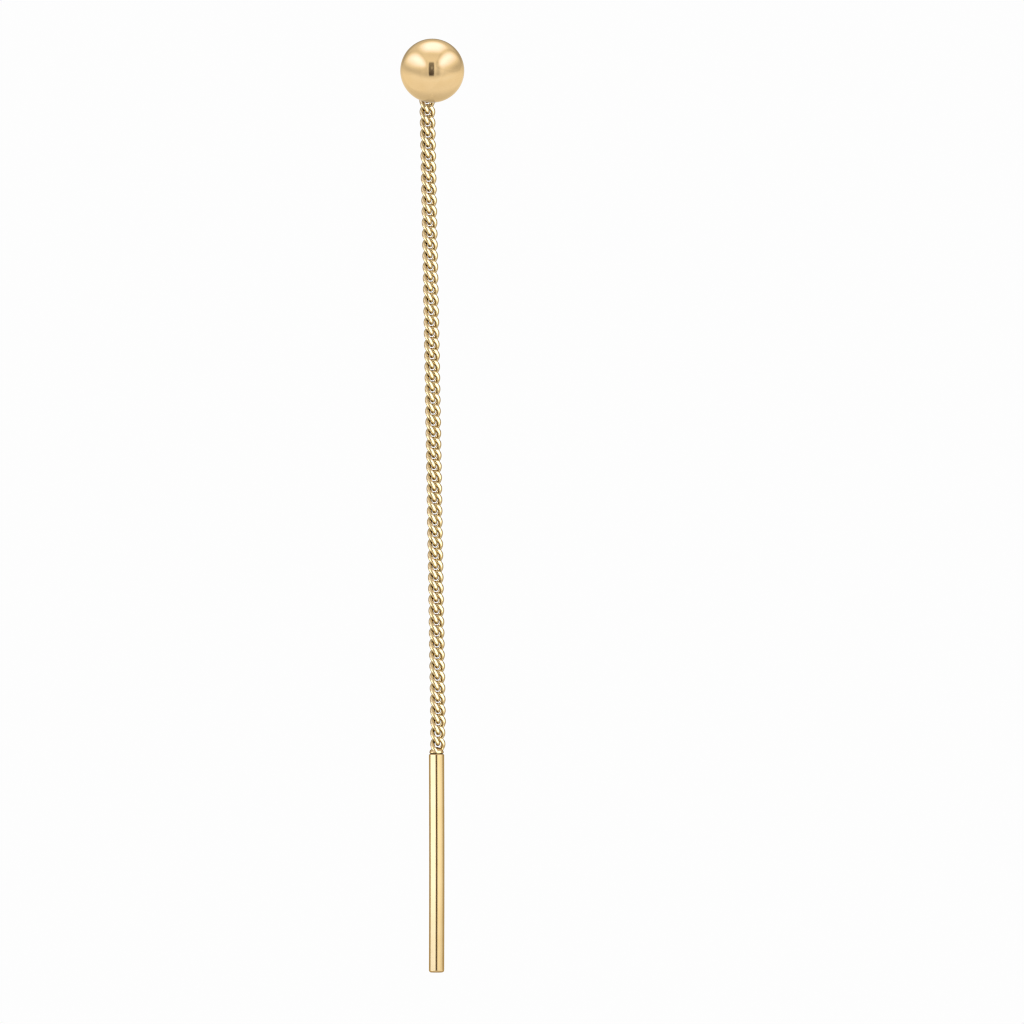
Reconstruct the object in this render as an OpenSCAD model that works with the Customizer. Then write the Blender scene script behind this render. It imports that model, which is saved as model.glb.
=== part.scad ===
// Pull-through earring: a polished ball, a fine curb chain that hangs from a loop behind it, and a round bar.
// Millimetres, +Z up, the front faces -Y. The origin is on the back of the ball, where its loop is soldered.

/* [Ball] */
// Diameter of the ball
ball_d = 4; // [3.5:0.1:6]
// How far the loop sits to the left of the ball's middle, seen from the front
loop_offset = 0.34; // [0:0.02:0.6]
// Thickness of the loop's wire
loop_wire = 0.28; // [0.24:0.01:0.3]
// Clear width inside the loop
loop_bore = 0.6; // [0.58:0.01:0.7]

/* [Chain] */
// Number of loose links between the loop and the bar
loose_links = 60; // [2:1:60]
// Distance from the middle of one link to the middle of the next
link_pitch = 0.6974; // [0.69:0.0002:0.71]
// Width of a link, from wire middle to wire middle
link_w = 0.82; // [0.8:0.01:0.84]
// Length of a link, from wire middle to wire middle
link_l = 1.05; // [1.04:0.01:1.06]
// Thickness of the link's wire
wire_d = 0.22; // [0.18:0.01:0.22]
// How far each end of a link is twisted from its middle, in degrees
link_twist = 55; // [52:1:57]
// How far the whole chain is turned about its own length, in degrees
chain_turn = -44; // [-60:1:-30]
// How far the chain's lower end hangs to the right of the loop
chain_lean = 0.73; // [0:0.01:1.5]
// How far the middle of the chain bows to the right of a straight line
chain_bow = 0.025; // [0:0.005:0.05]

/* [Bar] */
// Diameter of the bar
bar_d = 0.95; // [0.94:0.01:1.1]
// Length of the bar
bar_l = 13.75; // [8:0.05:25]
// How far the bar hangs to the right of the loop
bar_offset = 0.645; // [0.6:0.005:0.7]
// Rounding of the bar's lower edge
bar_round = 0.16; // [0.05:0.01:0.3]
// Rounding of the bar's upper edge
bar_top_round = 0.08; // [0.02:0.01:0.1]
// Width of the solder that holds the end link on the bar
solder_w = 0.9; // [0.84:0.01:0.92]
// Height of the solder
solder_h = 0.3; // [0.24:0.01:0.32]

/* [Hidden] */
round_sides = 96;
wire_sides = 6;
link_segments = 14;

ball_r = ball_d / 2;
ball_y = -sqrt(ball_r * ball_r - loop_offset * loop_offset);
loop_r = (loop_bore + loop_wire) / 2;
// Gap between the ball's back and the clear space inside the loop
loop_stand_off = 0.11;
loop_y = loop_stand_off + loop_bore / 2;
// The loop is soldered a little below the ball's middle
loop_z = -0.06;

// The first link's top arch passes through the loop just under the loop's middle
first_arch_drop = 0.064;
first_link_z = loop_z - first_arch_drop - link_l / 2;
// The end link is soldered a little to the right of the bar's middle
end_link_shift = 0.05;
end_link_x = bar_offset + end_link_shift;
end_link_z = first_link_z - loose_links * link_pitch;
// How far the middle of the end link's lower arch lies below the bar's top
end_link_sink = 0.01;
bar_top_z = end_link_z - link_l / 2 + end_link_sink;
// Rounding of the solder's lower rim
solder_rim = 0.09;
// How far the solder reaches into the bar's top
solder_sink = 0.02;

// Sideways place of the middle of loose link n, counted from 0 at the loop
function link_x(n) =
    let (share = n / loose_links)
    chain_lean * share + chain_bow * sin(180 * share);

// Turn of a link's plane at height z above the link's middle
function plane_angle(z) = chain_turn + link_twist * z / (link_l / 2);

// Middle of the wire at angle t round the link, with the link's middle at the origin
function wire_middle(t) =
    let (
        across = link_w / 2 * cos(t),
        z = link_l / 2 * sin(t),
        angle = plane_angle(z)
    )
    [across * cos(angle), -across * sin(angle), z];

function unit(v) = v / norm(v);

// Direction in which the wire runs at angle t
function wire_along(t) = unit(wire_middle(t + 0.5) - wire_middle(t - 0.5));

// Direction square to the wire that faces out of the link's plane
function wire_facing(t) =
    let (
        angle = plane_angle(link_l / 2 * sin(t)),
        normal = [sin(angle), cos(angle), 0],
        along = wire_along(t)
    )
    unit(normal - (normal * along) * along);

// Corners of the wire's cross-section at angle t
function wire_ring(t) =
    let (
        facing = wire_facing(t),
        side = cross(wire_along(t), facing)
    )
    [
        for (k = [0 : wire_sides - 1])
            let (a = 360 * k / wire_sides)
            wire_middle(t) + wire_d / 2 * (cos(a) * facing + sin(a) * side)
    ];

// All corners of one link, ring by ring from the top arch
link_points = [
    for (s = [0 : link_segments - 1])
        each wire_ring(90 + 360 * s / link_segments)
];

link_corners = link_segments * wire_sides;

// Three-sided faces of one link, whose corners start at number first
function link_faces(first) = [
    for (s = [0 : link_segments - 1], k = [0 : wire_sides - 1])
        let (
            here = first + s * wire_sides,
            beyond = first + (s + 1) % link_segments * wire_sides,
            next_k = (k + 1) % wire_sides
        )
        each [
            [here + k, beyond + k, beyond + next_k],
            [here + k, beyond + next_k, here + next_k]
        ]
];

// Links whose middles are at the given places
module links(places) {
    polyhedron(
        points = [for (place = places) each [for (p = link_points) p + place]],
        faces = [for (n = [0 : len(places) - 1]) each link_faces(n * link_corners)],
        convexity = 10
    );
}

// Round rod with its top at the origin, its two ends rounded by different amounts
module rounded_bar() {
    rotate_extrude($fn = round_sides)
        union() {
            translate([0, -bar_top_round])
                square([bar_d / 2 - bar_top_round, bar_top_round]);
            translate([bar_d / 2 - bar_top_round, -bar_top_round])
                circle(r = bar_top_round, $fn = round_sides);
            translate([0, bar_round - bar_l])
                square([bar_d / 2, bar_l - bar_round - bar_top_round]);
            translate([bar_d / 2 - bar_round, bar_round - bar_l])
                circle(r = bar_round, $fn = round_sides);
            translate([0, -bar_l])
                square([bar_d / 2 - bar_round, bar_round]);
        }
}

// Solder that stands on the origin: a round rim, then a hollow slope up to the link
module solder_fillet() {
    rim_r = solder_w / 2 - solder_rim;
    slope_r = solder_h - 2 * solder_rim;
    translate([0, 0, -solder_sink])
        rotate_extrude($fn = round_sides)
            union() {
                square([rim_r, 2 * solder_rim]);
                translate([rim_r, solder_rim])
                    circle(r = solder_rim, $fn = round_sides);
                difference() {
                    square([rim_r, solder_h]);
                    translate([rim_r, solder_h])
                        circle(r = slope_r, $fn = round_sides);
                }
            }
}

// Ball with the wire loop soldered to its back
module ball() {
    color("gold")
        union() {
            translate([loop_offset, ball_y, 0])
                sphere(r = ball_r, $fn = round_sides);
            translate([0, loop_y, loop_z])
                rotate([0, 90, 0])
                    rotate_extrude($fn = round_sides)
                        translate([loop_r, 0])
                            circle(r = loop_wire / 2, $fn = round_sides);
        }
}

// Loose curb links from the loop down to the bar's end link
module chain() {
    color("goldenrod")
        links([
            for (n = [0 : loose_links - 1])
                [link_x(n), loop_y, first_link_z - n * link_pitch]
        ]);
}

// Bar with the end link soldered to its top
module bar() {
    color("gold")
        union() {
            translate([bar_offset, loop_y, bar_top_z])
                rounded_bar();
            translate([bar_offset, loop_y, bar_top_z])
                solder_fillet();
            links([[end_link_x, loop_y, end_link_z]]);
        }
}

ball();
chain();
bar();
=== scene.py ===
"""Looks of a pull-through earring: a polished gold ball, a fine curb chain and a round bar.

Lengths are in millimetres up to the meshes, which are in metres. +Z is up and the front faces -Y.
"""

import math

import bpy
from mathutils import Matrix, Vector


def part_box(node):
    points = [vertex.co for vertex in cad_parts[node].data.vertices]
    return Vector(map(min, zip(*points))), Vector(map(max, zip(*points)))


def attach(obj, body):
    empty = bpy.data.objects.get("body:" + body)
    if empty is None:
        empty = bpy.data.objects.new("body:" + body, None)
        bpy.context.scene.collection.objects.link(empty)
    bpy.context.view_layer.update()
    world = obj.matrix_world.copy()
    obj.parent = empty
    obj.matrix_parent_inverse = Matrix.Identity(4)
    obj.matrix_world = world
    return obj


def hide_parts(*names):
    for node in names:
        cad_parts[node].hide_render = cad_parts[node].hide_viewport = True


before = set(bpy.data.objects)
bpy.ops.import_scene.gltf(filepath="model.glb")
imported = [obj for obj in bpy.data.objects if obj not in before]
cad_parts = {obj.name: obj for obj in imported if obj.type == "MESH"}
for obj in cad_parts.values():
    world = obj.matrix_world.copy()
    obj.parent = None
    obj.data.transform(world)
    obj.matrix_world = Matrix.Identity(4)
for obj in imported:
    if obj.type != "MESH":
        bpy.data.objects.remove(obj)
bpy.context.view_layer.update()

MM = 0.001

# Curb chain: the wire is at its real thickness here, so neighbouring links touch
LOOSE_LINKS = 60
LINK_PITCH = 0.6974
LINK_WIDTH = 0.797
LINK_LENGTH = 1.038
WIRE_THICKNESS = 0.31
LINK_TWIST = 55.0
CHAIN_TURN = -43.0
CHAIN_LEAN = 0.73
CHAIN_BOW = 0.025
CHAIN_SHIFT = 0.03
FIRST_LINK_DROP = 0.704
LINK_RINGS = 56
WIRE_SIDES = 20
# The last loose link and the end link are a little finer and further apart, so the bar swings freely
SWING_WIRE = 0.278
LAST_LINK_SHIFT = -0.03
END_LINK_LOWER = 0.02
# How far the end link stands to the right of the bar's middle
END_LINK_SHIFT = 0.08

# Small changes to the solids' sizes and places that fit the photograph's outline
BALL_GROWTH = 0.016
BALL_SHIFT = (0.036, -0.016, -0.049)
BAR_GROWTH = 0.012

# Loop on the back of the ball
LOOP_RADIUS = 0.44
LOOP_WIRE = 0.28
LOOP_Y = 0.41
LOOP_Z = -0.06

# Bead of solder round the loop's foot: half its width and height, its rise above the ball,
# how fast that falls off towards its rim, and how far the rim lies inside the ball
BEAD_SPREAD = (0.36, 0.62)
BEAD_RISE = 0.17
BEAD_FALL = 1.6
BEAD_SINK = 0.004

# Bar: its length, how far the middle ring of its end face lies from the axis, the rounding of
# its lower and upper edge, and how far its middle bows to the right
BAR_LENGTH = 13.75
BAR_FACE_RADIUS = 0.15
BAR_BOTTOM_ROUND = 0.16
BAR_SHOULDER_ROUND = 0.08
BAR_BOW = 0.016
BAR_ROWS = 40
BAR_SEGMENTS = 128

# Outline of the solder cap above the bar's top, from its foot in the groove: radius and height.
# Its lowest rows of faces get a near-black gold, a painted shade for the groove's shadow round the bar's
# top.
SOLDER_CAP = [
    (0.0, -0.02), (0.37, -0.02), (0.385, 0.01), (0.41, 0.03), (0.438, 0.05),
    (0.45, 0.085), (0.449, 0.12), (0.44, 0.165), (0.42, 0.215), (0.385, 0.262),
    (0.33, 0.3), (0.26, 0.345), (0.18, 0.395), (0.1, 0.43), (0.0, 0.44),
]
CAP_SEGMENTS = 64
GROOVE_SHADE_ROWS = 3

# Photograph's frame: pixels to the millimetre, and where the ball's middle lies in it
PIXELS_PER_MM = 15.9
FRAME_SIZE = 1024
BALL_PIXEL = (431.75, 70.2)
CAMERA_DISTANCE = 2500.0
SENSOR = 36.0


def span(node):
    """Lowest and highest corner of a solid, in millimetres."""
    low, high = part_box(node)
    return [c / MM for c in low], [c / MM for c in high]


ball_low, ball_high = span("ball")
CAD_BALL_RADIUS = (ball_high[2] - ball_low[2]) / 2
CAD_BALL_X = (ball_low[0] + ball_high[0]) / 2
BALL_RADIUS = CAD_BALL_RADIUS + BALL_GROWTH
BALL_MIDDLE = (CAD_BALL_X + BALL_SHIFT[0], ball_low[1] + CAD_BALL_RADIUS + BALL_SHIFT[1], BALL_SHIFT[2])
bar_low, bar_high = span("bar")
CAD_BAR_RADIUS = (bar_high[1] - bar_low[1]) / 2
BAR_RADIUS = CAD_BAR_RADIUS + BAR_GROWTH
BAR_X = bar_low[0] + CAD_BAR_RADIUS
BAR_Y = (bar_low[1] + bar_high[1]) / 2
BAR_TOP = bar_low[2] + BAR_LENGTH
END_LINK_Z = -FIRST_LINK_DROP - LOOSE_LINKS * LINK_PITCH - END_LINK_LOWER


# Mesh helpers

class Shape:
    """Corners and faces gathered for one mesh, each face with its material's number."""

    def __init__(self):
        self.corners = []
        self.faces = []
        self.slots = []

    def add(self, corners, faces, slot=0):
        first = len(self.corners)
        self.corners += [Vector(c) for c in corners]
        self.faces += [[first + i for i in face] for face in faces]
        self.slots += [slot] * len(faces)

    def build(self, name, materials):
        mesh = bpy.data.meshes.new(name)
        mesh.from_pydata([c * MM for c in self.corners], [], self.faces)
        for material in materials:
            mesh.materials.append(material)
        mesh.polygons.foreach_set("material_index", self.slots)
        mesh.polygons.foreach_set("use_smooth", [True] * len(self.faces))
        mesh.update()
        piece = bpy.data.objects.new(name, mesh)
        bpy.context.scene.collection.objects.link(piece)
        return piece


def closed_tube(middles, facings, radius, sides):
    """Round wire along a closed line; facings are directions roughly square to it."""
    count = len(middles)
    corners = []
    for i, (middle, facing) in enumerate(zip(middles, facings)):
        along = (middles[(i + 1) % count] - middles[i - 1]).normalized()
        out = (facing - facing.dot(along) * along).normalized()
        side = along.cross(out)
        for k in range(sides):
            a = 2 * math.pi * k / sides
            corners.append(middle + radius * (math.cos(a) * out + math.sin(a) * side))
    faces = []
    for i in range(count):
        here, beyond = i * sides, (i + 1) % count * sides
        for k in range(sides):
            next_k = (k + 1) % sides
            faces.append([here + k, beyond + k, beyond + next_k, here + next_k])
    return corners, faces


def lathe(profile, segments, place, bow=None):
    """Closed round body from (radius, height) points that start and end on the axis."""
    rings = profile[1:-1]
    corners = []
    for radius, height in rings:
        shift = bow(height) if bow else 0.0
        for s in range(segments):
            a = 2 * math.pi * s / segments
            x, y = radius * math.cos(a) + shift, radius * math.sin(a)
            corners.append(place + Vector((x, y, height)))
    faces = []
    for i in range(len(rings) - 1):
        here, above = i * segments, (i + 1) * segments
        for s in range(segments):
            next_s = (s + 1) % segments
            faces.append([here + s, here + next_s, above + next_s, above + s])
    for (_, height), ring, flip in ((profile[0], 0, True), (profile[-1], len(rings) - 1, False)):
        shift = bow(height) if bow else 0.0
        corners.append(place + Vector((shift, 0.0, height)))
        tip, start = len(corners) - 1, ring * segments
        for s in range(segments):
            edge = [start + s, start + (s + 1) % segments]
            faces.append([edge[1], edge[0], tip] if flip else [edge[0], edge[1], tip])
    return corners, faces


def arc(middle_r, middle_z, radius, start, end, steps):
    """Points of a profile on an arc between two angles in degrees."""
    points = []
    for i in range(steps + 1):
        a = math.radians(start + (end - start) * i / steps)
        points.append((middle_r + radius * math.cos(a), middle_z + radius * math.sin(a)))
    return points


# Curb links

def link_middle(n, shift=0.0):
    """Middle of link n, counted from 0 at the loop, with a shift to the right."""
    share = n / LOOSE_LINKS
    x = CHAIN_SHIFT + CHAIN_LEAN * share + CHAIN_BOW * math.sin(math.pi * share)
    return Vector((x + shift, LOOP_Y, -FIRST_LINK_DROP - n * LINK_PITCH))


def link_wire(middle, thickness):
    """Twisted wire of one curb link round its middle."""
    middles, facings = [], []
    for i in range(LINK_RINGS):
        t = math.pi / 2 + 2 * math.pi * i / LINK_RINGS
        across = LINK_WIDTH / 2 * math.cos(t)
        height = LINK_LENGTH / 2 * math.sin(t)
        angle = math.radians(CHAIN_TURN + LINK_TWIST * math.sin(t))
        middles.append(middle + Vector((across * math.cos(angle), -across * math.sin(angle), height)))
        facings.append(Vector((math.sin(angle), math.cos(angle), 0.0)))
    return closed_tube(middles, facings, thickness / 2, WIRE_SIDES)


# Materials

class Nodes:
    """Short ways to add shader nodes to one tree."""

    def __init__(self, tree):
        self.tree = tree
        tree.nodes.clear()

    def new(self, kind, **settings):
        node = self.tree.nodes.new(kind)
        for name, value in settings.items():
            setattr(node, name, value)
        return node

    def feed(self, socket, value):
        """Gives a socket either another node's output or a plain value."""
        if isinstance(value, bpy.types.NodeSocket):
            self.tree.links.new(value, socket)
        else:
            socket.default_value = value

    def math(self, operation, *values):
        node = self.new("ShaderNodeMath", operation=operation)
        for socket, value in zip(node.inputs, values):
            self.feed(socket, value)
        return node.outputs[0]

    def dot(self, vector, fixed):
        node = self.new("ShaderNodeVectorMath", operation="DOT_PRODUCT")
        self.feed(node.inputs[0], vector)
        node.inputs[1].default_value = fixed
        return node.outputs["Value"]

    def step(self, value, low, high, bottom=0.0, top=1.0):
        """Smooth step of a value from bottom to top as it goes from low to high."""
        node = self.new("ShaderNodeMapRange", interpolation_type="SMOOTHSTEP")
        self.feed(node.inputs["Value"], value)
        for name, number in (("From Min", low), ("From Max", high), ("To Min", bottom), ("To Max", top)):
            node.inputs[name].default_value = number
        return node.outputs["Result"]

    def bell(self, value):
        """Bell curve of a value: 1 at 0, and falling off to both sides."""
        square = self.math("MULTIPLY", value, value)
        return self.math("EXPONENT", self.math("MULTIPLY", square, -1.0))

    def dim(self, level, share, depth):
        """Level made darker by a depth, by as much of it as the share says."""
        return self.math("MULTIPLY", level, self.math("MULTIPLY_ADD", share, -depth, 1.0))

    def mix(self, factor, a, b):
        node = self.new("ShaderNodeMix", data_type="RGBA")
        self.feed(node.inputs["Factor"], factor)
        self.feed(node.inputs["A"], a)
        self.feed(node.inputs["B"], b)
        return node.outputs["Result"]

    def colour(self, red, green, blue):
        node = self.new("ShaderNodeCombineColor")
        for socket, value in zip(node.inputs, (red, green, blue)):
            self.feed(socket, value)
        return node.outputs["Color"]

    def noise(self, coordinates, scale, detail=2.0):
        node = self.new("ShaderNodeTexNoise")
        self.feed(node.inputs["Vector"], coordinates)
        node.inputs["Scale"].default_value = scale
        node.inputs["Detail"].default_value = detail
        return node.outputs["Fac"]


GOLD = (0.858, 0.61, 0.312)
# Faint clouds in the gold: their tone against it, how many to the millimetre, and where they begin and end
WARM_SHIFT = (0.976, 0.96, 0.918)
CLOUDS_PER_MM = 0.8
CLOUD_EDGE = dict(low=0.35, high=0.7)
GRAIN_EDGE = dict(low=0.3, high=0.75)

# Finish of each gold. shade is its tone against the plain gold and edge the tone of its reflections
# at the rim. Both are painted shade: below 1 the shade makes darker copies of one gold, and the dark
# edge tones darken the rims, standing in for darker surroundings that the loop, chain, bar and solder
# reflect; the ball keeps the plain gold. haze is how far the roughness rises in the polishing grain,
# grain is how many grains there are to the millimetre, stretch draws them out along an axis, and dent
# is their depth in millimetres.
LINK_FINISH = dict(
    shade=(0.695, 0.72, 0.715), edge=(0.5, 0.4, 0.26), roughness=0.07, haze=0.04,
    grain=12.0, stretch=(1.0, 1.0, 0.4), dent=0.00005)
FINISHES = dict(
    ball_gold=dict(
        shade=(1.0, 1.0, 1.0), edge=(1.0, 0.92, 0.76), roughness=0.08, haze=0.03,
        grain=6.0, stretch=(1.0, 1.0, 1.0), dent=0.00002),
    loop_gold=dict(
        shade=(0.6, 0.6, 0.6), edge=(0.7, 0.56, 0.4), roughness=0.12, haze=0.06,
        grain=9.0, stretch=(1.0, 1.0, 1.0), dent=0.0001),
    chain_gold=LINK_FINISH,
    bar_gold=dict(
        shade=(0.65, 0.61, 0.53), edge=(0.54, 0.46, 0.32), roughness=0.12, haze=0.05,
        grain=5.0, stretch=(1.0, 1.0, 0.06), dent=0.00004),
    end_link_gold=LINK_FINISH,
    solder_gold=dict(
        shade=(0.61, 0.59, 0.53), edge=(0.6, 0.45, 0.3), roughness=0.14, haze=0.1,
        grain=4.5, stretch=(1.0, 1.0, 1.0), dent=0.014),
    # Near-black gold: painted shade in the groove under the solder cap.
    groove_shade_gold=dict(
        shade=(0.07, 0.06, 0.04), edge=(0.5, 0.33, 0.18), roughness=0.3, haze=0.1,
        grain=6.0, stretch=(1.0, 1.0, 1.0), dent=0.001),
)


def gold(name):
    """Polished gold: faint shifts of colour and haze, and a very fine polishing grain."""
    finish = FINISHES[name]
    # A shade below 1 is painted shade: a darker copy of the one gold. The dark edge tones paint shade on
    # the rim reflections.
    plain = [s * c for s, c in zip(finish["shade"], GOLD)] + [1.0]
    warm = [c * w for c, w in zip(plain, WARM_SHIFT)] + [1.0]
    roughness = finish["roughness"]
    material = bpy.data.materials.new(name)
    material.use_nodes = True
    nodes = Nodes(material.node_tree)
    place = nodes.new("ShaderNodeTexCoord").outputs["Object"]
    stretch = nodes.new("ShaderNodeMapping")
    nodes.feed(stretch.inputs["Vector"], place)
    stretch.inputs["Scale"].default_value = finish["stretch"]
    cloud = nodes.noise(place, CLOUDS_PER_MM / MM)
    grain = nodes.noise(stretch.outputs["Vector"], finish["grain"] / MM, detail=3.0)
    haze = nodes.step(grain, **GRAIN_EDGE, bottom=roughness, top=roughness + finish["haze"])
    bump = nodes.new("ShaderNodeBump")
    bump.inputs["Strength"].default_value = 1.0
    bump.inputs["Distance"].default_value = finish["dent"] * MM
    nodes.feed(bump.inputs["Height"], grain)
    shader = nodes.new("ShaderNodeBsdfPrincipled")
    shader.inputs["Metallic"].default_value = 1.0
    shader.inputs["Specular Tint"].default_value = (*finish["edge"], 1.0)
    nodes.feed(shader.inputs["Base Color"], nodes.mix(nodes.step(cloud, **CLOUD_EDGE), plain, warm))
    nodes.feed(shader.inputs["Roughness"], haze)
    nodes.feed(shader.inputs["Normal"], bump.outputs["Normal"])
    output = nodes.new("ShaderNodeOutputMaterial")
    nodes.feed(output.inputs["Surface"], shader.outputs["BSDF"])
    return material


# Pieces

def solder_bead():
    """Low mound of solder on the ball's back, round the foot of the loop."""
    rings, segments = 16, 48
    x0, y0, z0 = BALL_MIDDLE
    corners = []
    for i in range(1, rings + 1):
        share = i / rings
        for s in range(segments):
            a = 2 * math.pi * s / segments
            x = BEAD_SPREAD[0] * share * math.cos(a)
            z = LOOP_Z + BEAD_SPREAD[1] * share * math.sin(a)
            skin = y0 + math.sqrt(BALL_RADIUS ** 2 - (x - x0) ** 2 - (z - z0) ** 2)
            rise = BEAD_RISE * (1 - share ** 2) ** BEAD_FALL - BEAD_SINK
            corners.append((x, skin + rise, z))
    faces = []
    for i in range(rings - 1):
        here, out = i * segments, (i + 1) * segments
        for s in range(segments):
            next_s = (s + 1) % segments
            faces.append([here + s, here + next_s, out + next_s, out + s])
    peak, root = len(corners), len(corners) + 1
    corners.append((0.0, BEAD_RISE, LOOP_Z))
    corners.append((0.0, -2 * BEAD_RISE, LOOP_Z))
    outer = (rings - 1) * segments
    for s in range(segments):
        next_s = (s + 1) % segments
        faces.append([peak, next_s, s])
        faces.append([root, outer + s, outer + next_s])
    return corners, faces


def build_ball():
    shape = Shape()
    rings, segments = 96, 192
    profile = []
    for i in range(rings + 1):
        a = math.pi * i / rings
        profile.append((BALL_RADIUS * math.sin(a), -BALL_RADIUS * math.cos(a)))
    shape.add(*lathe(profile, segments, Vector(BALL_MIDDLE)))
    steps, sides = 96, 24
    middles = []
    for i in range(steps):
        a = 2 * math.pi * i / steps
        y, z = LOOP_Y + LOOP_RADIUS * math.cos(a), LOOP_Z + LOOP_RADIUS * math.sin(a)
        middles.append(Vector((CHAIN_SHIFT, y, z)))
    facings = [Vector((1.0, 0.0, 0.0))] * steps
    shape.add(*closed_tube(middles, facings, LOOP_WIRE / 2, sides), slot=1)
    shape.add(*solder_bead(), slot=1)
    return shape.build("polished_ball", [gold("ball_gold"), gold("loop_gold")])


def build_chain():
    shape = Shape()
    last = LOOSE_LINKS - 1
    for n in range(last):
        shape.add(*link_wire(link_middle(n), WIRE_THICKNESS))
    shape.add(*link_wire(link_middle(last, LAST_LINK_SHIFT), SWING_WIRE))
    return shape.build("curb_chain", [gold("chain_gold")])


def bar_profile():
    """Bar's outline from the middle of its lower end to the middle of its top, measured from its top."""
    low, high = BAR_BOTTOM_ROUND, BAR_SHOULDER_ROUND
    straight = BAR_LENGTH - low - high
    points = [(0.0, -BAR_LENGTH), (BAR_FACE_RADIUS, -BAR_LENGTH)]
    points += arc(BAR_RADIUS - low, low - BAR_LENGTH, low, -90, 0, steps=12)
    points += [(BAR_RADIUS, low - BAR_LENGTH + straight * i / BAR_ROWS) for i in range(1, BAR_ROWS)]
    points += arc(BAR_RADIUS - high, -high, high, 0, 90, steps=10)
    points.append((0.0, 0.0))
    return points


def bar_bow(height):
    """How far the bar bows to the right at a height measured from its top."""
    return BAR_BOW * math.sin(math.pi * min(max(-height / BAR_LENGTH, 0.0), 1.0))


def build_bar():
    shape = Shape()
    shape.add(*lathe(bar_profile(), BAR_SEGMENTS, Vector((BAR_X, BAR_Y, BAR_TOP)), bar_bow))
    return shape.build("threading_bar", [gold("bar_gold")])


def build_end_link():
    shape = Shape()
    shape.add(*link_wire(Vector((BAR_X + END_LINK_SHIFT, BAR_Y, END_LINK_Z)), SWING_WIRE))
    first = len(shape.faces)
    shape.add(*lathe(SOLDER_CAP, CAP_SEGMENTS, Vector((BAR_X, BAR_Y, BAR_TOP))), slot=1)
    # The cap's lowest rows take the near-black gold: painted shade of the groove.
    for i in range(first, first + GROOVE_SHADE_ROWS * CAP_SEGMENTS):
        shape.slots[i] = 2
    return shape.build("soldered_link", [gold("end_link_gold"), gold("solder_gold"), gold("groove_shade_gold")])


ball = build_ball()
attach(ball, "ball_and_chain")
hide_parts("ball")

chain = build_chain()
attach(chain, "ball_and_chain")
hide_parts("chain")

bar = build_bar()
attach(bar, "hanging_bar")
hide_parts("bar")

end_link = build_end_link()
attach(end_link, "hanging_bar")
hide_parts("bar")


# Studio

# Walls all round: they are lightest low down, darkest at the horizon and lighter again above it.
# The horizon is tipped down at the front by some degrees, and curves up to both sides.
HORIZON_TILT = 14.7
HORIZON_SAG = 0.15
TABLE = dict(low=-0.381, high=-0.027, bottom=0.929, top=0.574)
CEILING = dict(low=-0.027, high=0.666, bottom=0.0, top=0.231)
# Dim band above the horizon behind the earring: the scale and offset of its bell curve over the height,
# how much it takes away, and how it ends to both sides
BACK_BAND = dict(scale=5.5, offset=-1.7, depth=0.25)
BACK_BAND_END = dict(low=-0.82, high=-0.72, bottom=1.0, top=0.0)
# Dim patch behind and below the earring: its middle's angle below the horizon in radians, and its fall
BACK_PATCH_DROP = 0.876
BACK_PATCH = dict(low=0.62, high=1.0, bottom=1.0, top=0.78)

# Soft lights round the earring. wide and high are half angles, soft is the share of the edge that
# fades, grow_right and grow_up are the change of brightness across, and ring is a dark outline.
SOFT_LIGHTS = [
    dict(
        azimuth=-78.3, elevation=23.1, roll=1.5, wide=44.8, high=20.3, power=1.63, soft=0.7,
        level=1.23, grow_right=0.21, grow_up=0.555, ring=0.06, ring_at=1.74),
    dict(
        azimuth=78.1, elevation=28.9, roll=0.0, wide=43.2, high=19.2, power=1.6, soft=0.7,
        level=1.27, grow_right=-0.17, grow_up=0.535, ring=0.14, ring_at=1.76),
    dict(
        azimuth=166.5, elevation=81.4, roll=12.4, wide=25.6, high=26.8, power=2.53, soft=0.67,
        level=1.7, grow_right=0.0, grow_up=-0.07),
]
DARK_OPENING = dict(
    azimuth=-2.9, elevation=5.2, roll=0.0, wide=10.0, high=24.7, power=8.0, soft=0.22,
    level=0.165, grow_right=0.0, grow_up=0.75)
GLINT = dict(azimuth=-1.0, elevation=9.0, wide=2.2, high=3.5, level=0.3)
# Least depth, widest growth and least brightness that a soft light is worked out with
LEAST_DEPTH = 0.05
GROWTH_LIMIT = 2.0
LEAST_LEVEL = 0.02
RING_WIDTH = 0.23
# Faint glows on the walls: half angles of their spread, and how much they add
GLOWS = [
    dict(azimuth=-46.1, elevation=17.7, wide=35.3, high=27.0, level=0.21),
    dict(azimuth=47.3, elevation=8.2, wide=25.9, high=21.0, level=0.36),
]
# Upright dark edges of the walls beside the opening, and how they fade at their foot and head
WALL_EDGES = [
    dict(azimuth=-21.7, wide=3.0, depth=0.095),
    dict(azimuth=21.3, wide=5.6, depth=0.27),
]
EDGE_FOOT = dict(low=-0.375, high=-0.208)
EDGE_HEAD = dict(low=0.438, high=0.643, bottom=1.0, top=0.0)

# Lamps are cooler than the walls: above full brightness the red and the blue rise by these shares
LAMP_RED = 0.33
LAMP_BLUE = 2.09
# Gaps are warmer: in the dark the red keeps this share of the level, and this much more
GAP_RED = (0.95, 0.016)
# Tint of the light that reaches the eye over two links or more, and the ray depth above which that
# is so: it keeps the gaps between the links from going orange
DEEP_TONE = Vector((0.71, 1.0, 1.9))
DEEP_RAY = 2.5
DIFFUSE_WHITE = (0.95, 0.95, 0.95, 1.0)
BACKDROP_WHITE = (0.985, 0.985, 0.985, 1.0)

# Lamps: power to the square metre, and where along its height a lamp's dimmed foot ends
LAMP_WATTS = 4.0
LAMP_FOOT_END = dict(low=0.45, high=0.51)

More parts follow.
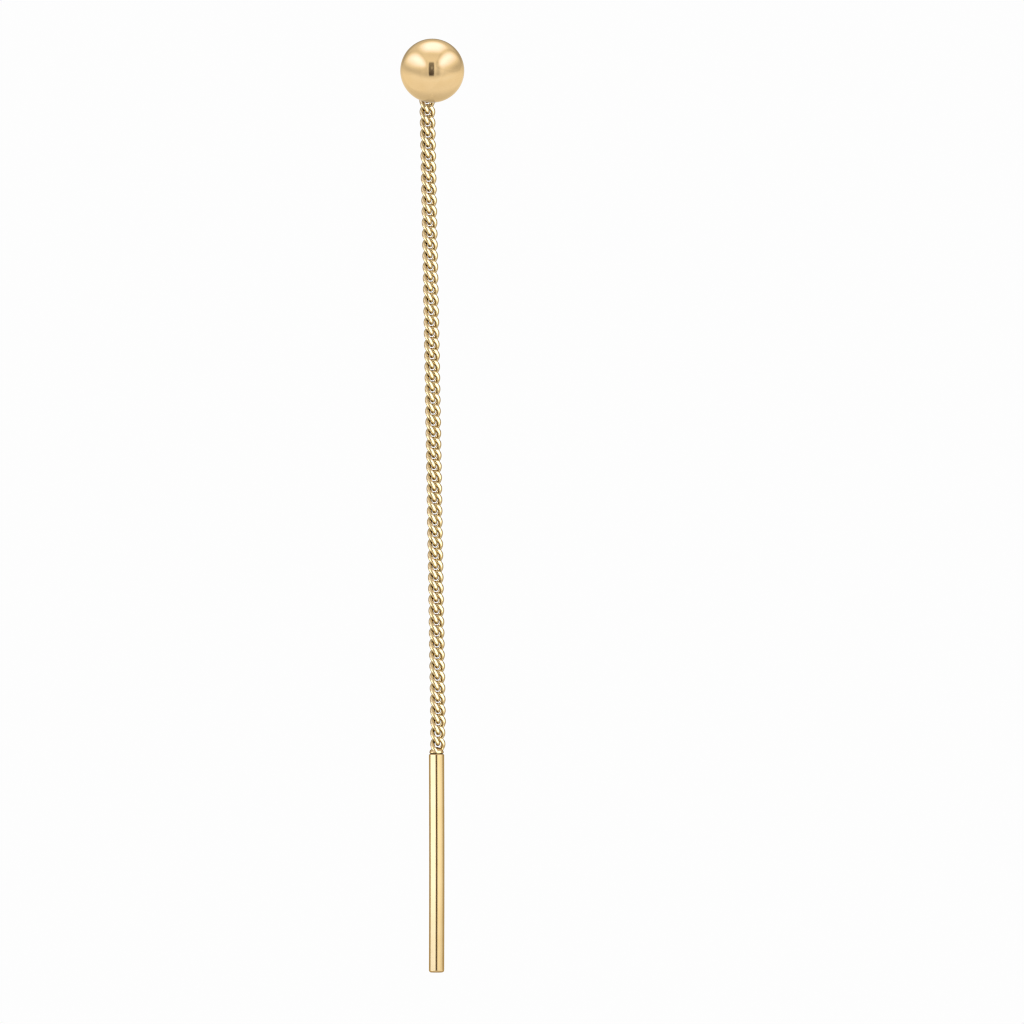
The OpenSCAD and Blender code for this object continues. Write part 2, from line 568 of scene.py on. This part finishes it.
# Glowing card behind the ball, a painted reflection that only reflections see: its brightness far down,
# how fast that falls towards the ball and how far, and the card's depth and its corners across and up
CARD_LEVEL = 0.95
CARD_FALL = 1.65
CARD_LEAST = 0.53
CARD_Y = -0.07
CARD_CORNERS = [(0.0, -60.0), (1.4, -60.0), (0.65, -0.8), (-0.6, -0.8)]

FLOOR_RADIUS = 1200.0
FLOOR_Z = -100.0
FLOOR_WHITE = (0.97, 0.97, 0.97, 1.0)


def direction(azimuth, elevation):
    """Unit vector; azimuth 0 points to the front and grows to the right, in degrees."""
    a, e = math.radians(azimuth), math.radians(elevation)
    return Vector((math.cos(e) * math.sin(a), -math.cos(e) * math.cos(a), math.sin(e)))


def tangent(degrees):
    return math.tan(math.radians(degrees))


def light_frame(light):
    """Middle direction of a soft light, and the directions to its right and top."""
    middle = direction(light["azimuth"], light["elevation"])
    right = direction(light["azimuth"] + 90, 0)
    up = right.cross(middle)
    if up.z < 0:
        up.negate()
    roll = math.radians(light.get("roll", 0.0))
    c, s = math.cos(roll), math.sin(roll)
    return middle, c * right + s * up, c * up - s * right


def add_soft_light(nodes, towards, surround, light):
    """Lays one soft light, as a rounded patch of the surroundings, over what is there."""
    middle, right, up = light_frame(light)
    depth = nodes.dot(towards, middle)
    in_front = nodes.math("GREATER_THAN", depth, LEAST_DEPTH)
    depth = nodes.math("MAXIMUM", depth, LEAST_DEPTH)
    p = nodes.math("DIVIDE", nodes.dot(towards, right / tangent(light["wide"])), depth)
    q = nodes.math("DIVIDE", nodes.dot(towards, up / tangent(light["high"])), depth)
    power, level, soft = light["power"], light["level"], light["soft"]
    powers = [nodes.math("POWER", nodes.math("ABSOLUTE", v), power) for v in (p, q)]
    distance = nodes.math("POWER", nodes.math("ADD", *powers), 1 / power)
    cover = nodes.math("MULTIPLY", nodes.step(distance, 1 - soft, 1 + soft, 1.0, 0.0), in_front)
    bright = level
    for along, growth in ((p, light["grow_right"]), (q, light["grow_up"])):
        limited = nodes.math("MINIMUM", nodes.math("MAXIMUM", along, -GROWTH_LIMIT), GROWTH_LIMIT)
        bright = nodes.math("MULTIPLY_ADD", limited, level * growth, bright)
    bright = nodes.math("MAXIMUM", bright, LEAST_LEVEL)
    lit = nodes.math("MULTIPLY_ADD", nodes.math("SUBTRACT", bright, surround), cover, surround)
    if "ring" in light:
        off = nodes.math("MULTIPLY_ADD", distance, 1 / RING_WIDTH, -light["ring_at"] / RING_WIDTH)
        lit = nodes.dim(lit, nodes.math("MULTIPLY", nodes.bell(off), in_front), light["ring"])
    return lit


def add_glow(nodes, towards, surround, glow):
    """Adds one glow, a soft spot without an edge, to what is there."""
    middle, right, up = light_frame(glow)
    in_front = nodes.math("GREATER_THAN", nodes.dot(towards, middle), 0.0)
    spread = math.sqrt(0.5)
    p = nodes.bell(nodes.dot(towards, spread * right / tangent(glow["wide"])))
    q = nodes.bell(nodes.dot(towards, spread * up / tangent(glow["high"])))
    share = nodes.math("MULTIPLY", nodes.math("MULTIPLY", p, q), in_front)
    return nodes.math("MULTIPLY_ADD", share, glow["level"], surround)


def add_wall_edge(nodes, turn, rows, surround, edge):
    """Darkens an upright stripe of the walls at one azimuth."""
    wide = math.sqrt(2) * math.radians(edge["wide"])
    off = nodes.math("MULTIPLY_ADD", turn, 1 / wide, -math.radians(edge["azimuth"]) / wide)
    return nodes.dim(surround, nodes.math("MULTIPLY", nodes.bell(off), rows), edge["depth"])


def add_walls(nodes, towards, front, side, up):
    """Brightness of the plain surroundings."""
    tilt = math.radians(HORIZON_TILT)
    height = nodes.dot(towards, Vector((0.0, -math.sin(tilt), math.cos(tilt))))
    height = nodes.math("MULTIPLY_ADD", nodes.math("MULTIPLY", side, side), -HORIZON_SAG, height)
    level = nodes.math("ADD", nodes.step(height, **TABLE), nodes.step(height, **CEILING))
    band = nodes.bell(nodes.math("MULTIPLY_ADD", up, BACK_BAND["scale"], BACK_BAND["offset"]))
    band = nodes.math("MULTIPLY", band, nodes.step(front, **BACK_BAND_END))
    level = nodes.dim(level, band, BACK_BAND["depth"])
    patch = nodes.dot(towards, Vector((0.0, math.cos(BACK_PATCH_DROP), -math.sin(BACK_PATCH_DROP))))
    return nodes.math("MULTIPLY", level, nodes.step(patch, **BACK_PATCH))


def studio_colour(nodes, level):
    """Colour of the surroundings at a level: lamps are cooler than the walls, and gaps warmer."""
    red = nodes.math("MINIMUM", level, nodes.math("MULTIPLY_ADD", level, LAMP_RED, 1 - LAMP_RED))
    red = nodes.math("MAXIMUM", red, nodes.math("MULTIPLY_ADD", level, *GAP_RED))
    blue = nodes.math("MAXIMUM", level, nodes.math("MULTIPLY_ADD", level, LAMP_BLUE, 1 - LAMP_BLUE))
    return nodes.colour(red, level, blue)


def build_world():
    world = bpy.data.worlds.new("studio")
    bpy.context.scene.world = world
    world.use_nodes = True
    nodes = Nodes(world.node_tree)
    towards = nodes.new("ShaderNodeTexCoord").outputs["Generated"]
    axes = Vector((0, -1, 0)), Vector((1, 0, 0)), Vector((0, 0, 1))
    front, side, up = (nodes.dot(towards, axis) for axis in axes)
    level = add_walls(nodes, towards, front, side, up)
    for light, glow in zip(SOFT_LIGHTS, GLOWS + [None]):
        level = add_soft_light(nodes, towards, level, light)
        if glow:
            level = add_glow(nodes, towards, level, glow)
    turn = nodes.math("ARCTAN2", side, front)
    rows = nodes.math("MULTIPLY", nodes.step(up, **EDGE_FOOT), nodes.step(up, **EDGE_HEAD))
    for edge in WALL_EDGES:
        level = add_wall_edge(nodes, turn, rows, level, edge)
    level = add_soft_light(nodes, towards, level, DARK_OPENING)
    level = add_glow(nodes, towards, level, GLINT)
    rays = nodes.new("ShaderNodeLightPath")
    studio = studio_colour(nodes, level)
    toned = nodes.new("ShaderNodeVectorMath", operation="MULTIPLY")
    nodes.feed(toned.inputs[0], studio)
    nodes.feed(toned.inputs[1], DEEP_TONE)
    deep = nodes.math("GREATER_THAN", rays.outputs["Ray Depth"], DEEP_RAY)
    studio = nodes.mix(deep, studio, toned.outputs["Vector"])
    seen = nodes.mix(rays.outputs["Is Glossy Ray"], DIFFUSE_WHITE, studio)
    seen = nodes.mix(rays.outputs["Is Camera Ray"], seen, BACKDROP_WHITE)
    background = nodes.new("ShaderNodeBackground")
    nodes.feed(background.inputs["Color"], seen)
    output = nodes.new("ShaderNodeOutputWorld")
    nodes.feed(output.inputs["Surface"], background.outputs["Background"])


def build_lamp(
        name, target, azimuth, distance, wide, heights, level, tone, receivers,
        fade=(1.0, 1.0), foot=1.0):
    """Upright flat lamp beside the earring that lights only the given pieces.

    It spans an angle as seen from the target, and reaches between two heights. Its brightness
    goes evenly from the first share of its level at its left side to the second at its right, and
    its lower half is dimmed to the share foot.
    """
    low, high = heights
    lamp = bpy.data.lights.new(name, "AREA")
    lamp.shape = "RECTANGLE"
    lamp.size = 2 * distance * tangent(wide / 2) * MM
    lamp.size_y = (high - low) * MM
    lamp.color = tone
    lamp.energy = LAMP_WATTS * level * lamp.size * lamp.size_y
    lamp.use_nodes = True
    nodes = Nodes(lamp.node_tree)
    across = nodes.new("ShaderNodeSeparateXYZ")
    nodes.feed(across.inputs[0], nodes.new("ShaderNodeNewGeometry").outputs["Parametric"])
    emission = nodes.new("ShaderNodeEmission")
    strength = nodes.math("MULTIPLY_ADD", across.outputs["X"], fade[1] - fade[0], fade[0])
    dimmed = nodes.step(across.outputs["Y"], **LAMP_FOOT_END, bottom=foot)
    nodes.feed(emission.inputs["Strength"], nodes.math("MULTIPLY", strength, dimmed))
    nodes.feed(nodes.new("ShaderNodeOutputLight").inputs["Surface"], emission.outputs["Emission"])
    holder = bpy.data.objects.new(name, lamp)
    towards = direction(azimuth, 0)
    holder.location = (Vector((target[0], target[1], (low + high) / 2)) + distance * towards) * MM
    holder.rotation_euler = towards.to_track_quat("Z", "Y").to_euler()
    holder.visible_camera = False
    bpy.context.scene.collection.objects.link(holder)
    lit = bpy.data.collections.new(name + "_lit")
    for piece in receivers:
        lit.objects.link(piece)
    holder.light_linking.receiver_collection = lit


def build_lamps():
    bar_axis = (BAR_X, BAR_Y)
    chain_axis = (0.0, LOOP_Y)
    links = [chain, end_link]
    build_lamp(
        "left_lamp", bar_axis, azimuth=-59.0, distance=60.0, wide=84.0, heights=(-90.0, -15.0),
        level=1.62, tone=(0.71, 1.0, 1.62), receivers=[bar], foot=0.66)
    build_lamp(
        "right_lamp", bar_axis, azimuth=55.0, distance=60.0, wide=84.0, heights=(-90.0, -15.0),
        level=1.27, tone=(0.8, 1.0, 1.24), receivers=[bar], fade=(1.0, 0.5), foot=0.7)
    build_lamp(
        "chain_right_lamp", chain_axis, azimuth=41.3, distance=300.0, wide=74.0, heights=(-660.0, 205.0),
        level=2.06, tone=(0.81, 1.0, 1.25), receivers=links)
    build_lamp(
        "chain_left_lamp", chain_axis, azimuth=-77.0, distance=300.0, wide=43.0, heights=(-193.0, 5.0),
        level=2.06, tone=(0.86, 1.0, 1.2), receivers=links)
    build_lamp(
        "back_lamp", bar_axis, azimuth=180.0, distance=60.0, wide=48.0, heights=(-90.0, 40.0),
        level=0.75, tone=(0.8, 1.0, 1.38), receivers=[bar])


def build_card():
    """Pale card behind the ball that only its reflections see: it keeps the chain out of them.

    Its glow is a painted reflection, no lamp: its brightness goes with its height as the surroundings do
    in the ball's lower half.
    """
    paper = bpy.data.materials.new("card_painted_reflection")
    paper.use_nodes = True
    paper.cycles.emission_sampling = "NONE"
    nodes = Nodes(paper.node_tree)
    place = nodes.new("ShaderNodeSeparateXYZ")
    nodes.feed(place.inputs[0], nodes.new("ShaderNodeTexCoord").outputs["Object"])
    closeness = nodes.math("DIVIDE", CARD_FALL * MM, place.outputs["Z"])
    level = nodes.math("MAXIMUM", nodes.math("ADD", closeness, CARD_LEVEL), CARD_LEAST)
    # The card glows though it is no lamp: a painted reflection of pale surroundings.
    glow = nodes.new("ShaderNodeEmission")
    nodes.feed(glow.inputs["Strength"], level)
    clear = nodes.new("ShaderNodeBsdfTransparent")
    sides = nodes.new("ShaderNodeMixShader")
    nodes.feed(sides.inputs[0], nodes.new("ShaderNodeNewGeometry").outputs["Backfacing"])
    nodes.feed(sides.inputs[1], glow.outputs["Emission"])
    nodes.feed(sides.inputs[2], clear.outputs["BSDF"])
    nodes.feed(nodes.new("ShaderNodeOutputMaterial").inputs["Surface"], sides.outputs["Shader"])
    shape = Shape()
    shape.add([(x, CARD_Y, z) for x, z in CARD_CORNERS], [[0, 1, 2, 3]])
    card = shape.build("reflection_card", [paper])
    card.visible_camera = False
    card.visible_diffuse = False
    card.visible_transmission = False
    card.visible_shadow = False


def build_floor():
    shape = Shape()
    sides = 96
    ring = []
    for s in range(sides):
        a = 2 * math.pi * s / sides
        ring.append((FLOOR_RADIUS * math.cos(a), FLOOR_RADIUS * math.sin(a), FLOOR_Z))
    shape.add(ring, [list(range(sides))])
    paper = bpy.data.materials.new("pale_paper")
    paper.use_nodes = True
    nodes = Nodes(paper.node_tree)
    shader = nodes.new("ShaderNodeBsdfDiffuse")
    shader.inputs["Color"].default_value = FLOOR_WHITE
    output = nodes.new("ShaderNodeOutputMaterial")
    nodes.feed(output.inputs["Surface"], shader.outputs["BSDF"])
    floor = shape.build("floor", [paper])
    floor.visible_glossy = False
    floor.visible_shadow = False


def build_camera():
    """Camera at the photograph's angle and framing."""
    camera = bpy.data.objects.new("camera", bpy.data.cameras.new("camera"))
    bpy.context.scene.collection.objects.link(camera)
    half = FRAME_SIZE / 2
    x = CAD_BALL_X + (half - BALL_PIXEL[0]) / PIXELS_PER_MM
    z = (BALL_PIXEL[1] - half) / PIXELS_PER_MM
    camera.location = Vector((x, -CAMERA_DISTANCE, z)) * MM
    camera.rotation_euler = (math.pi / 2, 0.0, 0.0)
    camera.data.sensor_width = SENSOR
    camera.data.lens = SENSOR * CAMERA_DISTANCE / (FRAME_SIZE / PIXELS_PER_MM)
    camera.data.clip_end = 10.0
    bpy.context.scene.camera = camera


build_world()
build_lamps()
build_card()
build_floor()
build_camera()

# Enough bounces for the links' reflections of each other, and pixels as sharp as the photograph's
scene = bpy.context.scene
scene.view_settings.view_transform = "Standard"
scene.cycles.glossy_bounces = 8
scene.cycles.filter_width = 1.2
